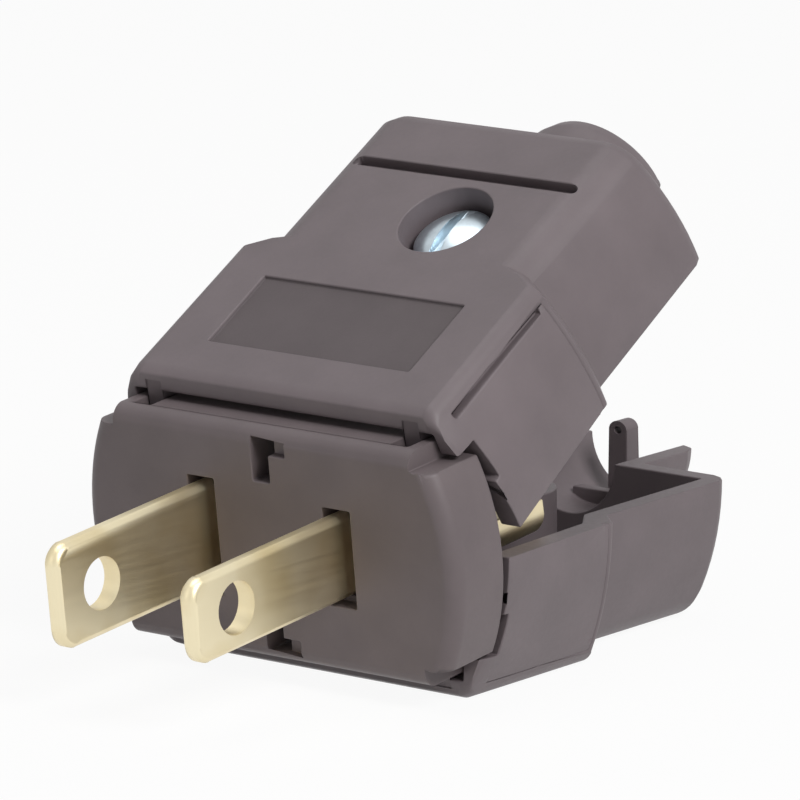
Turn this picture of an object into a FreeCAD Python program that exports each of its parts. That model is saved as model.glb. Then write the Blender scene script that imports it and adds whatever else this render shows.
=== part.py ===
import FreeCAD, Part
import os
from FreeCAD import Placement, Rotation, Vector

# Rewirable two-blade plug with a clamshell body: a face block carries the blades, and an upper and
# a lower jaw hinge on its corners. It stands half open on the flat outer face of its lower jaw.
# Every moulding is drawn in the closed plug's frame, in millimetres: X across the blades,
# Y from the face towards the cord, Z up from the parting plane of the jaws.

doc = FreeCAD.newDocument("HingedPlug")
sheet = doc.addObject("Spreadsheet::Sheet", "Sizes")


class Size:
    """A length that knows its value and the spreadsheet expression behind it."""

    def __init__(self, value, text):
        self.value = value
        self.text = text

    def __add__(self, other):
        other = as_size(other)
        return Size(self.value + other.value, f"({self.text} + {other.text})")

    def __sub__(self, other):
        other = as_size(other)
        return Size(self.value - other.value, f"({self.text} - {other.text})")

    def __mul__(self, other):
        other = as_size(other)
        return Size(self.value * other.value, f"({self.text} * {other.text})")

    def __truediv__(self, other):
        other = as_size(other)
        return Size(self.value / other.value, f"({self.text} / {other.text})")

    def __neg__(self):
        return Size(-self.value, f"(0 - {self.text})")

    def root(self):
        return Size(self.value ** 0.5, f"sqrt({self.text})")


def as_size(number):
    return number if isinstance(number, Size) else Size(float(number), f"{float(number)}")


ROWS = []


def size(alias, value, note):
    """Write one driving dimension into the spreadsheet."""
    ROWS.append(alias)
    row = len(ROWS)
    sheet.set(f"A{row}", note)
    sheet.set(f"B{row}", str(value))
    sheet.setAlias(f"B{row}", alias)
    return Size(float(value), f"Sizes.{alias}")


# Blades
blade_pitch = size("blade_pitch", 12.7, "centre to centre of the two blades")
blade_thick = size("blade_thick", 1.52, "brass sheet")
neutral_wide = size("neutral_wide", 7.92, "height of the wide blade")
line_wide = size("line_wide", 6.35, "height of the narrow blade")
blade_reach = size("blade_reach", 16.5, "blade length in front of the face")
blade_hole_r = size("blade_hole_r", 1.985, "radius of the hole in each blade")
blade_hole_out = size("blade_hole_out", 11.9, "hole centre in front of the face")
tip_round = size("tip_round", 1.6, "corner radius of the blade tips")
tip_chamfer = size("tip_chamfer", 0.4, "chamfer along the blade tips")
bend_round = size("bend_round", 0.5, "inner radius of the bends in the terminal")

# Terminals behind the face block
tail_start = size("tail_start", 7.4, "front of the folded terminal")
tail_end = size("tail_end", 14.2, "rear of the folded terminal")
flange_reach = size("flange_reach", 14.6, "outer end of the terminal from the middle plane")
lip_high = size("lip_high", 1.4, "turned-up lip that keeps the wire on the terminal")
terminal_x = size("terminal_x", 9.75, "terminal screw from the middle plane")
terminal_y = size("terminal_y", 10.8, "terminal screw behind the face")
terminal_head_r = size("terminal_head_r", 2.75, "binding head radius")
terminal_head_high = size("terminal_head_high", 1.7, "binding head height")
terminal_shank_r = size("terminal_shank_r", 1.75, "terminal screw shank radius")
terminal_shank = size("terminal_shank", 5.0, "terminal screw length under the head")

# Face block
block_rim_half = size("block_rim_half", 17.5, "half width at the parting plane")
block_top_half = size("block_top_half", 15.1, "half width at the flat top")
block_high = size("block_high", 8.95, "parting plane to the flat top")
block_deep = size("block_deep", 5.6, "front to rear of the block")
block_round = size("block_round", 1.3, "rounding round the face")
notch_x = size("notch_x", 13.95, "inner side of the corner notches")
notch_z = size("notch_z", 7.5, "floor of the corner notches")
slot_front = size("slot_front", 1.35, "wall in front of the hinge slots")
opening_deep = size("opening_deep", 1.4, "depth of the wells round the blade roots")
opening_side = size("opening_side", 0.9, "well beside the blade root")
opening_ends = size("opening_ends", 0.5, "well above and below the blade root")
latch_half = size("latch_half", 0.8, "half width of the slots at the middle of the face")
latch_low = size("latch_low", 4.9, "inner end of these slots")
latch_top = size("latch_top", 8.2, "outer end of these slots")
latch_step = size("latch_step", 1.6, "width of the shallow step beside each slot")
latch_step_low = size("latch_step_low", 7.0, "inner end of that step")
latch_step_deep = size("latch_step_deep", 0.8, "depth of that step")

# Hinges
hinge_y = size("hinge_y", 3.6, "hinge axis behind the face")
hinge_z = size("hinge_z", 5.9, "hinge axis from the parting plane")
pin_r = size("pin_r", 1.0, "radius of the moulded hinge pins")
pin_reach = size("pin_reach", 1.3, "length of a hinge pin beside its lug")
lug_inner = size("lug_inner", 11.4, "inner side of the hinge lugs")
lug_thick = size("lug_thick", 1.5, "thickness of the hinge lugs")
lug_r = size("lug_r", 2.1, "radius of the hinge lugs")
lug_arm = size("lug_arm", 2.8, "front to rear of the lug's arm")
lug_lead = size("lug_lead", 0.4, "arm's front behind the hinge axis")

# Jaws, drawn with their flat outer face up
jaw_rim_half = size("jaw_rim_half", 17.45, "half width of the jaw's front at the rim")
jaw_top_half = size("jaw_top_half", 13.9, "half width of the wide part's flat top")
jaw_high = size("jaw_high", 11.05, "rim to flat top")
jaw_front = size("jaw_front", 4.45, "front edge of the hood over the block")
shoulder_y = size("shoulder_y", 19.4, "rear of the wide part")
shoulder_rim_half = size("shoulder_rim_half", 16.3, "half width at the shoulder's rim")
shoulder_run = size("shoulder_run", 1.6, "length of the shoulder's slope")
waist_rim_half = size("waist_rim_half", 14.6, "half width at the waist's rim")
waist_top_half = size("waist_top_half", 11.3, "half width of the waist's flat top")
waist_taper = size("waist_taper", 0.35, "how much the waist's rim narrows to the rear")
waist_end = size("waist_end", 36.7, "rear face of the waist")
nose_r = size("nose_r", 6.05, "outer radius of the cord nose")
nose_end = size("nose_end", 43.9, "rear end of the cord nose")
nose_round = size("nose_round", 1.8, "rounding of the nose's rear edge")
channel_r = size("channel_r", 4.4, "radius of the cord channel")
jaw_wall = size("jaw_wall", 1.6, "wall of the jaws")
jaw_round = size("jaw_round", 1.5, "rounding along the flat outer face")
end_round = size("end_round", 1.3, "rounding of the jaw's front and rear edges")
skim = size("skim", 0.02, "skimmed off the flat outer face")
side_round = size("side_round", 0.8, "rounding of the upright corners")
rim_gap = size("rim_gap", 0.08, "half the gap between the closed rims")
groove_y = size("groove_y", 30.1, "cross groove behind the face")
groove_half = size("groove_half", 0.5, "half width of the cross groove")
groove_reach = size("groove_reach", 10.6, "end of the cross groove from the middle plane")
groove_deep = size("groove_deep", 0.9, "depth of the cross groove")
panel_front = size("panel_front", 6.4, "front of the finger panels on both sides")
panel_rear = size("panel_rear", 18.9, "rear of the finger panels")
panel_top = size("panel_top", 9.9, "top of the finger panels from the rim")
panel_line = size("panel_line", 0.5, "width of the grooves round the finger panels")
panel_deep = size("panel_deep", 0.35, "depth of these grooves")
plate_half = size("plate_half", 9.5, "half width of the bare recess in the upper jaw")
plate_front = size("plate_front", 8.8, "front of that recess")
plate_rear = size("plate_rear", 16.4, "rear of that recess")
plate_deep = size("plate_deep", 0.3, "depth of that recess")

# Closing screw
screw_x = size("screw_x", 1.8, "closing screw from the middle plane")
screw_y = size("screw_y", 25.0, "closing screw behind the face")
recess_r = size("recess_r", 4.0, "radius of the deep recess round its head")
recess_deep = size("recess_deep", 6.0, "depth of that recess")
cup_wall = size("cup_wall", 1.2, "wall round and under that recess")
head_r = size("head_r", 2.95, "closing screw head radius")
head_high = size("head_high", 2.0, "closing screw head height")
head_sunk = size("head_sunk", 1.0, "head's top under the outer face, backed out")
shank_r = size("shank_r", 1.7, "closing screw shank radius")
tip_lift = size("tip_lift", 0.2, "screw tip over the parting plane, backed out")
slot_half = size("slot_half", 0.45, "half width of the driver slots")
slot_deep = size("slot_deep", 0.8, "depth of the driver slots")
insert_r = size("insert_r", 2.6, "threaded insert radius")
insert_long = size("insert_long", 3.4, "threaded insert length")
insert_drop = size("insert_drop", 0.35, "insert and boss under the parting plane")
boss_r = size("boss_r", 3.9, "radius of the boss that holds the insert")
bottom_deep = size("bottom_deep", 1.6, "free depth under the insert")

# Cord post in the lower jaw's nose
post_y = size("post_y", 41.0, "front of the cord post")
post_long = size("post_long", 2.0, "front to rear of the cord post")
post_half = size("post_half", 1.3, "half width of the cord post")
post_high = size("post_high", 3.0, "top of the cord post over the parting plane")
post_hole_r = size("post_hole_r", 0.55, "radius of the hole through its head")
ridge_half = size("ridge_half", 0.5, "half width of the cord ridges")
ridge_high = size("ridge_high", 1.2, "height of the cord ridges on the channel floor")
ridge_y = size("ridge_y", 38.4, "cord ridge behind the face")

# Clearances
seam = size("seam", 0.15, "between moulded faces that close on each other")
turn_play = size("turn_play", 0.05, "round a pin, shank or blade in its hole")
lug_play = size("lug_play", 0.1, "beside a hinge lug in its slot")

# Pose of the photographed plug, in degrees from closed
UPPER_OPEN = 24.0
LOWER_OPEN = 6.4

# A moulded edge's rounding is drawn as two slopes that meet on its quarter circle, this share in
BEND = 1 - 0.5 ** 0.5
end_bend = end_round * BEND
doc.recompute()

PLANE_AXIS = {"XY": 1, "XZ": -1, "YZ": 1}


def new_body(name):
    body = doc.addObject("PartDesign::Body", name)
    body.Label = name
    return body


def origin_item(body, role):
    return [item for item in body.Origin.OriginFeatures if item.Role == role][0]


def new_sketch(body, name, plane, offset=0):
    """A sketch parallel to one of the body's own planes, at a distance along that plane's axis."""
    sketch = body.newObject("Sketcher::SketchObject", name)
    sketch.AttachmentSupport = [(origin_item(body, plane + "_Plane"), "")]
    sketch.MapMode = "FlatFace"
    along = as_size(offset) * PLANE_AXIS[plane]
    sketch.AttachmentOffset = Placement(Vector(0, 0, along.value), Rotation())
    sketch.setExpression("AttachmentOffset.Base.z", along.text)
    return sketch


def bind(sketch, index, length):
    sketch.setExpression(f"Constraints[{index}]", length.text)


def fix_coordinate(sketch, kind, axis, geometry, point, coordinate):
    """Tie one coordinate of a point to the origin, whatever its sign."""
    import Sketcher
    if abs(coordinate.value) < 1e-9:
        sketch.addConstraint(Sketcher.Constraint("PointOnObject", geometry, point, axis))
    elif coordinate.value > 0:
        made = sketch.addConstraint(Sketcher.Constraint(kind, -1, 1, geometry, point, coordinate.value))
        bind(sketch, made, coordinate)
    else:
        made = sketch.addConstraint(Sketcher.Constraint(kind, geometry, point, -1, 1, -coordinate.value))
        bind(sketch, made, -coordinate)


def fix_point(sketch, geometry, point, across, up):
    fix_coordinate(sketch, "DistanceX", -2, geometry, point, across)
    fix_coordinate(sketch, "DistanceY", -1, geometry, point, up)


def arc_between(first, last, radius, centre_left):
    """The short arc from first to last; returned counter-clockwise, as sketches hold it."""
    chord = last - first
    middle = (first + last) * 0.5
    normal = Vector(-chord.y, chord.x, 0).normalize()
    rise = max(radius * radius - chord.Length ** 2 / 4, 0) ** 0.5
    centre = middle + normal * (rise if centre_left else -rise)
    ends = (first, last) if centre_left else (last, first)
    angles = [Vector(1, 0, 0).getAngle(end - centre) for end in ends]
    signed = [angle if (end - centre).y >= 0 else -angle for angle, end in zip(angles, ends)]
    return Part.ArcOfCircle(Part.Circle(centre, Vector(0, 0, 1), radius), signed[0], signed[1])


def draw_loop(sketch, corners):
    """A closed outline. A corner is (across, up), or (across, up, radius, side) to start an arc."""
    import Sketcher
    loop = [tuple(as_size(item) if index < 3 else item for index, item in enumerate(corner))
            for corner in corners]
    made = []
    for index, corner in enumerate(loop):
        after = loop[(index + 1) % len(loop)]
        first = Vector(corner[0].value, corner[1].value, 0)
        last = Vector(after[0].value, after[1].value, 0)
        if len(corner) == 2:
            made.append((sketch.addGeometry(Part.LineSegment(first, last)), 1, 2))
            continue
        left = corner[3] == "left"
        number = sketch.addGeometry(arc_between(first, last, corner[2].value, left))
        made.append((number, 1, 2) if left else (number, 2, 1))
        radius = sketch.addConstraint(Sketcher.Constraint("Radius", number, corner[2].value))
        bind(sketch, radius, corner[2])
    for index, (number, start, end) in enumerate(made):
        following = made[(index + 1) % len(made)]
        sketch.addConstraint(Sketcher.Constraint("Coincident", number, end, following[0], following[1]))
        fix_point(sketch, number, start, loop[index][0], loop[index][1])


def draw_box(sketch, left, bottom, right, top):
    draw_loop(sketch, [(left, bottom), (right, bottom), (right, top), (left, top)])


def draw_circle(sketch, across, up, radius):
    import Sketcher
    across, up = as_size(across), as_size(up)
    circle = Part.Circle(Vector(across.value, up.value, 0), Vector(0, 0, 1), radius.value)
    number = sketch.addGeometry(circle)
    made = sketch.addConstraint(Sketcher.Constraint("Radius", number, radius.value))
    bind(sketch, made, radius)
    fix_point(sketch, number, 3, across, up)


def checked(feature, grows):
    """Recompute, and stop if the feature failed or did not change the solid as it should."""
    doc.recompute()
    if "Invalid" in feature.State or "Error" in feature.State or feature.Shape.isNull():
        raise RuntimeError(f"{feature.Name} did not build")
    base = feature.BaseFeature
    if base is not None:
        gained = feature.Shape.Volume - base.Shape.Volume
        if gained * (1 if grows else -1) < 1e-3:
            raise RuntimeError(f"{feature.Name} changed the volume by {gained}")
    return feature


def extrude(body, kind, name, sketch, length, toward):
    """Pad or Pocket from a sketch towards the positive or negative end of its plane's axis."""
    plane = sketch.AttachmentSupport[0][0].Role[:2]
    feature = body.newObject("PartDesign::" + kind, name)
    feature.Profile = sketch
    natural = PLANE_AXIS[plane] if kind == "Pad" else -PLANE_AXIS[plane]
    feature.Reversed = natural != toward
    length = as_size(length)
    feature.Length = length.value
    feature.setExpression("Length", length.text)
    return checked(feature, kind == "Pad")


def pad(body, name, sketch, length, toward):
    return extrude(body, "Pad", name, sketch, length, toward)


def pocket(body, name, sketch, length, toward):
    return extrude(body, "Pocket", name, sketch, length, toward)


def mirror_across(body, name, features, role="YZ_Plane", grows=True):
    mirrored = body.newObject("PartDesign::Mirrored", name)
    mirrored.Originals = features
    mirrored.MirrorPlane = (origin_item(body, role), [""])
    body.Tip = mirrored
    return checked(mirrored, grows)


def dress(body, kind, name, base, amount, wanted):
    """Fillet or Chamfer on every edge of base that the test wanted() picks."""
    picked = [f"Edge{number + 1}" for number, edge in enumerate(base.Shape.Edges) if wanted(edge)]
    if not picked:
        raise RuntimeError(f"{name} found no edge")
    feature = body.newObject("PartDesign::" + kind, name)
    feature.Base = (base, picked)
    target = "Radius" if kind == "Fillet" else "Size"
    setattr(feature, target, amount.value)
    feature.setExpression(target, amount.text)
    return checked(feature, False)


def revolve(body, name, sketch, role, angle, above):
    """Revolution about one of the body's axes, on the side of the sketch that above() accepts."""
    feature = body.newObject("PartDesign::Revolution", name)
    feature.Profile = sketch
    feature.ReferenceAxis = (origin_item(body, role), [""])
    feature.Angle = angle
    doc.recompute()
    if not above(feature.Placement.multVec(feature.AddSubShape.CenterOfMass)):
        feature.Reversed = True
    return checked(feature, True)


def near(value, target, within=0.02):
    return abs(value - target) < within


def barrel(body, name, offset, rim, top, high, rounding=None, lower=0):
    """Half section with bulging sides that stand upright at the rim and would reach the half width
    top at the height high. The flat top may lie lower, and its edges may be rounded."""
    sketch = new_sketch(body, name, "XZ", offset)
    bulge = rim - top
    radius = (high * high + bulge * bulge) / (bulge * 2)
    tall = high - lower
    centre = rim - radius
    if rounding is None:
        flat = centre + (radius * radius - tall * tall).root()
        draw_loop(sketch, [(-rim, 0, radius, "right"), (-flat, tall), (flat, tall, radius, "right"), (rim, 0)])
        return sketch
    inside = radius - rounding
    run = (inside * inside - (tall - rounding) * (tall - rounding)).root()
    flat = centre + run
    side = centre + run * radius / inside
    level = (tall - rounding) * radius / inside
    draw_loop(sketch, [(-rim, 0, radius, "right"), (-side, level, rounding, "right"), (-flat, tall),
                       (flat, tall, rounding, "right"), (side, level, radius, "right"), (rim, 0)])
    return sketch


def loft(body, kind, name, sketches):
    """A ruled loft. Its sections are listed from front to rear and joined from the rear, so that
    they follow the sketches' own axis and the solid's faces point outwards."""
    feature = body.newObject("PartDesign::" + kind, name)
    feature.Profile = sketches[-1]
    feature.Sections = sketches[-2::-1]
    feature.Ruled = True
    return checked(feature, kind == "AdditiveLoft")


# Face block

def blade_side(sign):
    """The wide neutral blade is at -X, the narrow line blade at +X."""
    return neutral_wide if sign < 0 else line_wide


def make_face_block():
    body = new_body("face_block")
    outline = new_sketch(body, "BlockOutline", "XZ", 0)
    bulge = block_rim_half - block_top_half
    radius = (block_high * block_high + bulge * bulge) / (bulge * 2)
    draw_loop(outline, [(-block_rim_half, 0, radius, "right"), (-block_top_half, block_high),
                        (block_top_half, block_high, radius, "right"), (block_rim_half, 0, radius, "right"),
                        (block_top_half, -block_high), (-block_top_half, -block_high, radius, "right")])
    solid = pad(body, "BlockSolid", outline, block_deep, 1)
    dress(body, "Fillet", "FaceRounding", solid, block_round,
          lambda edge: near(edge.BoundBox.YMax, 0))

    notches = new_sketch(body, "CornerNotches", "XZ", 0)
    outside = block_rim_half + block_round
    for left, right in ((notch_x, outside), (-outside, -notch_x)):
        draw_box(notches, left, notch_z, right, block_high + block_round)
        draw_box(notches, left, -block_high - block_round, right, -notch_z)
    pocket(body, "CutNotches", notches, block_deep, 1)

    slots = new_sketch(body, "HingeSlots", "XZ", slot_front)
    slot_in = lug_inner - lug_play
    slot_out = lug_inner + lug_thick + lug_play
    slot_low = hinge_z - lug_r - seam
    for left, right in ((slot_in, slot_out), (-slot_out, -slot_in)):
        draw_box(slots, left, slot_low, right, block_high + block_round)
        draw_box(slots, left, -block_high - block_round, right, -slot_low)
    pocket(body, "CutSlots", slots, block_deep - slot_front, 1)

    bores = new_sketch(body, "HingeBores", "YZ", lug_inner + lug_thick + pin_reach + seam)
    draw_circle(bores, hinge_y, hinge_z, pin_r + turn_play)
    draw_circle(bores, hinge_y, -hinge_z, pin_r + turn_play)
    cut = pocket(body, "CutBores", bores, lug_thick + (pin_reach + seam) * 2, -1)
    mirror_across(body, "CutBoresBeyond", [cut], grows=False)

    for sign, name in ((-1, "Neutral"), (1, "Line")):
        middle = blade_pitch / 2 * sign
        half = blade_thick / 2 + turn_play
        high = blade_side(sign) / 2 + turn_play
        hole = new_sketch(body, name + "Slot", "XZ", 0)
        draw_box(hole, middle - half, -high, middle + half, high)
        pocket(body, f"Cut{name}Slot", hole, block_deep, 1)
        well = new_sketch(body, name + "Well", "XZ", 0)
        tall = high + opening_ends
        draw_box(well, middle - half, -tall, middle + half + opening_side, tall)
        pocket(body, f"Cut{name}Well", well, opening_deep, 1)

    latches = new_sketch(body, "LatchSlots", "XZ", 0)
    steps = new_sketch(body, "LatchSteps", "XZ", 0)
    for low, top in ((latch_low, latch_top), (-latch_top, -latch_low)):
        draw_box(latches, -latch_half, low, latch_half, top)
    for low, top in ((latch_step_low, latch_top), (-latch_top, -latch_step_low)):
        draw_box(steps, latch_half, low, latch_half + latch_step, top)
    pocket(body, "CutLatchSlots", latches, block_deep, 1)
    pocket(body, "CutLatchSteps", steps, latch_step_deep, 1)
    return body


# Jaws

def make_jaw(label):
    """One jaw with its flat face up: the outer form, the hollow, the hinge lugs and the groove."""
    body = new_body(label)
    rear_rim = waist_rim_half - waist_taper
    waist_y = shoulder_y + shoulder_run
    stations = [("Front", jaw_front, jaw_rim_half - end_round / 3, jaw_top_half, end_round),
                ("FrontBend", jaw_front + end_bend, jaw_rim_half - end_bend / 3, jaw_top_half, end_bend),
                ("Hood", jaw_front + end_round, jaw_rim_half, jaw_top_half, 0),
                ("Shoulder", shoulder_y, shoulder_rim_half, jaw_top_half, 0),
                ("Waist", waist_y, waist_rim_half, waist_top_half, 0),
                ("Rear", waist_end - end_round, rear_rim, waist_top_half, 0),
                ("RearBend", waist_end - end_bend, rear_rim - end_bend / 3, waist_top_half, end_bend),
                ("RearEnd", waist_end, rear_rim - end_round / 3, waist_top_half, end_round)]
    loft(body, "AdditiveLoft", "OuterForm",
         [barrel(body, "Outer" + name, along, rim, top, jaw_high + skim, jaw_round, lower)
          for name, along, rim, top, lower in stations])
    # One plane in place of the loft's strips, so that the recesses start from a true flat
    outside = jaw_rim_half + jaw_round
    flat = new_sketch(body, "FlatTop", "XY", jaw_high)
    draw_box(flat, -outside, 0, outside, nose_end)
    pocket(body, "CutFlatTop", flat, jaw_round, 1)

    nose = new_sketch(body, "NoseProfile", "XY", 0)
    root = waist_end - jaw_wall / 2
    bend = nose_round * BEND
    draw_loop(nose, [(0, root), (nose_r, root), (nose_r, nose_end - nose_round),
                     (nose_r - bend, nose_end - bend), (nose_r - nose_round, nose_end), (0, nose_end)])
    revolve(body, "Nose", nose, "Y_Axis", 180, lambda centre: centre.z > 0)

    inner_high = jaw_high - jaw_wall
    inner = [barrel(body, "InnerFront", jaw_front - jaw_wall, jaw_rim_half - jaw_wall,
                    jaw_top_half - jaw_wall, inner_high),
             barrel(body, "InnerShoulder", shoulder_y - jaw_wall, shoulder_rim_half - jaw_wall,
                    jaw_top_half - jaw_wall, inner_high),
             barrel(body, "InnerWaist", waist_y - jaw_wall / 2, waist_rim_half - jaw_wall,
                    waist_top_half - jaw_wall, inner_high),
             barrel(body, "InnerRear", waist_end - jaw_wall, rear_rim - jaw_wall,
                    waist_top_half - jaw_wall, inner_high)]
    loft(body, "SubtractiveLoft", "Hollow", inner)

    channel = new_sketch(body, "ChannelSection", "XZ", waist_end - jaw_wall * 2)
    draw_loop(channel, [(-channel_r, 0, channel_r, "right"), (0, channel_r, channel_r, "right"),
                        (channel_r, 0)])
    pocket(body, "CordChannel", channel, nose_end - waist_end + jaw_wall * 2, 1)

    # The hood and the corner ears clear the block when closed and while they swing over it
    clear_y = jaw_front - jaw_round
    front = new_sketch(body, "BlockRoom", "XZ", clear_y)
    draw_box(front, -outside, 0, outside, notch_z + seam)
    pocket(body, "CutBlockRoom", front, block_deep + seam - clear_y, 1)
    swing = new_sketch(body, "SwingRoom", "XZ", clear_y)
    draw_box(swing, -notch_x - seam, hinge_z, notch_x + seam, jaw_high - jaw_wall)
    pocket(body, "CutSwingRoom", swing, hinge_y + lug_r * 2 + jaw_wall - clear_y, 1)
    knuckle = new_sketch(body, "KnuckleRoom", "YZ", outside)
    sweep_r = lug_r + seam + (block_deep - hinge_y - pin_r) / 2
    draw_box(knuckle, clear_y, hinge_z - pin_r * 1.5, hinge_y + sweep_r, notch_z + seam)
    pocket(body, "CutKnuckleRoom", knuckle, outside * 2, -1)

    arm = new_sketch(body, "LugArm", "YZ", lug_inner)
    draw_box(arm, hinge_y + lug_lead, hinge_z, hinge_y + lug_lead + lug_arm, jaw_high - jaw_wall / 2)
    arm_pad = pad(body, "LugArmPad", arm, lug_thick, 1)
    disc = new_sketch(body, "LugDisc", "YZ", lug_inner)
    draw_circle(disc, hinge_y, hinge_z, lug_r)
    disc_pad = pad(body, "LugDiscPad", disc, lug_thick, 1)
    pins = new_sketch(body, "HingePins", "YZ", lug_inner - pin_reach)
    draw_circle(pins, hinge_y, hinge_z, pin_r)
    pin_pad = pad(body, "HingePinPad", pins, lug_thick + pin_reach * 2, 1)
    mirror_across(body, "LugsBeyond", [arm_pad, disc_pad, pin_pad])

    groove = new_sketch(body, "CrossGroove", "XY", jaw_high)
    low, top, end = groove_y - groove_half, groove_y + groove_half, groove_reach - groove_half
    draw_loop(groove, [(-end, low), (end, low, groove_half, "left"), (groove_reach, groove_y, groove_half, "left"),
                       (end, top), (-end, top, groove_half, "left"), (-groove_reach, groove_y, groove_half, "left")])
    pocket(body, "CutCrossGroove", groove, groove_deep, -1)

    # Narrow grooves border the finger panels on both sides of the wide part
    deep = jaw_top_half + panel_line - panel_deep
    along = new_sketch(body, "PanelTopLine", "XZ", panel_front)
    across = new_sketch(body, "PanelRearLine", "XZ", panel_rear - panel_line)
    inner_bulge = shoulder_rim_half - jaw_top_half
    inner_r = (jaw_high * jaw_high + inner_bulge * inner_bulge) / (inner_bulge * 2)
    for side, turn in ((1, "right"), (-1, "left")):
        draw_box(along, deep * side, panel_top - panel_line, outside * side, panel_top)
        draw_loop(across, [((shoulder_rim_half - panel_deep) * side, 0), (outside * side, 0),
                           (outside * side, panel_top), (deep * side, panel_top, inner_r, turn)])
    pocket(body, "CutPanelTopLine", along, panel_rear - panel_front, 1)
    pocket(body, "CutPanelRearLine", across, panel_line, 1)

    rims = new_sketch(body, "RimGap", "XY", 0)
    draw_box(rims, -outside, 0, outside, nose_end + nose_round)
    pocket(body, "CutRimGap", rims, rim_gap, 1)
    return body


def make_upper_jaw():
    body = make_jaw("upper_jaw")
    plate = new_sketch(body, "BareRecess", "XY", jaw_high)
    draw_box(plate, -plate_half, plate_front, plate_half, plate_rear)
    pocket(body, "CutBareRecess", plate, plate_deep, -1)
    floor = jaw_high - recess_deep
    cup = new_sketch(body, "ScrewCup", "XY", floor - cup_wall)
    draw_circle(cup, screw_x, screw_y, recess_r + cup_wall)
    pad(body, "ScrewCupPad", cup, jaw_high - jaw_wall / 2 - floor + cup_wall, 1)
    recess = new_sketch(body, "ScrewRecess", "XY", jaw_high)
    draw_circle(recess, screw_x, screw_y, recess_r)
    pocket(body, "CutScrewRecess", recess, recess_deep, -1)
    hole = new_sketch(body, "ScrewHole", "XY", floor)
    draw_circle(hole, screw_x, screw_y, shank_r + turn_play)
    pocket(body, "CutScrewHole", hole, cup_wall, -1)
    return body


def make_lower_jaw():
    body = make_jaw("lower_jaw")
    boss = new_sketch(body, "InsertBoss", "XY", insert_drop)
    draw_circle(boss, -screw_x, screw_y, boss_r)
    pad(body, "InsertBossPad", boss, jaw_high - jaw_wall / 2 - insert_drop, 1)
    seat = new_sketch(body, "InsertSeat", "XY", insert_drop)
    draw_circle(seat, -screw_x, screw_y, insert_r)
    pocket(body, "CutInsertSeat", seat, insert_long, 1)
    bottom = new_sketch(body, "ScrewRoom", "XY", insert_drop + insert_long)
    draw_circle(bottom, -screw_x, screw_y, shank_r + jaw_wall / 4)
    pocket(body, "CutScrewRoom", bottom, bottom_deep, 1)

    post = new_sketch(body, "CordPost", "XZ", post_y)
    foot = channel_r + (nose_r - channel_r) / 2
    head = -post_high + post_half
    draw_loop(post, [(-post_half, foot), (-post_half, head, post_half, "left"),
                     (0, -post_high, post_half, "left"), (post_half, head), (post_half, foot)])
    pad(body, "CordPostPad", post, post_long, 1)
    hole = new_sketch(body, "CordPostHole", "XZ", post_y)
    draw_circle(hole, 0, head, post_hole_r)
    pocket(body, "CutCordPostHole", hole, post_long, 1)

    ridge = new_sketch(body, "CordRidge", "XZ", ridge_y)
    level = channel_r - ridge_high
    draw_box(ridge, -channel_r / 2, level, channel_r / 2, foot)
    pad(body, "CordRidgePad", ridge, ridge_half * 2, 1)
    return body


# Blades and fasteners

def make_blade(label, sign):
    """A blade with its terminal, folded out of one strip: sign says on which side it lies."""
    body = new_body(label)
    half = blade_side(sign) / 2
    middle = blade_pitch / 2 * sign
    inner = middle - blade_thick / 2 * sign
    low_x, high_x = middle - blade_thick / 2, middle + blade_thick / 2
    strip = new_sketch(body, "Strip", "YZ", low_x)
    root = tip_round - blade_reach
    draw_loop(strip, [(root, half, tip_round, "left"), (-blade_reach, half - tip_round),
                      (-blade_reach, tip_round - half, tip_round, "left"), (root, -half),
                      (tail_end, -half), (tail_end, -bend_round - blade_thick),
                      (tail_start, -bend_round - blade_thick), (tail_start, half)])
    pad(body, "StripPad", strip, blade_thick, 1)

    fold = new_sketch(body, "Fold", "XZ", tail_start)
    edge = flange_reach * sign
    lip = (flange_reach - blade_thick) * sign
    turn = (bend_round + blade_thick) * sign
    bend = bend_round * sign
    outer_r = bend_round + blade_thick
    hollow = "left" if sign > 0 else "right"
    bulge = "right" if sign > 0 else "left"
    outline = [(inner, -half), (inner, -outer_r, outer_r, bulge), (inner + turn, 0),
               (lip - bend, 0, bend_round, hollow), (lip, bend_round), (lip, lip_high), (edge, lip_high),
               (edge, bend_round, outer_r, bulge), (edge - turn, -blade_thick),
               (inner + turn, -blade_thick, bend_round, hollow),
               (inner + blade_thick * sign, -outer_r), (inner + blade_thick * sign, -half)]
    draw_loop(fold, outline)
    pad(body, "FoldPad", fold, tail_end - tail_start, 1)

    hole = new_sketch(body, "BladeHole", "YZ", high_x)
    draw_circle(hole, -blade_hole_out, 0, blade_hole_r)
    pocket(body, "CutBladeHole", hole, blade_thick, -1)
    tapped = new_sketch(body, "TerminalHole", "XY", 0)
    draw_circle(tapped, terminal_x * sign, terminal_y, terminal_shank_r + turn_play)
    last = pocket(body, "CutTerminalHole", tapped, blade_thick, -1)
    dress(body, "Chamfer", "TipChamfer", last, tip_chamfer,
          lambda edge: near(edge.BoundBox.YMax, -blade_reach.value) and edge.BoundBox.ZLength > 1)
    return body


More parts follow.
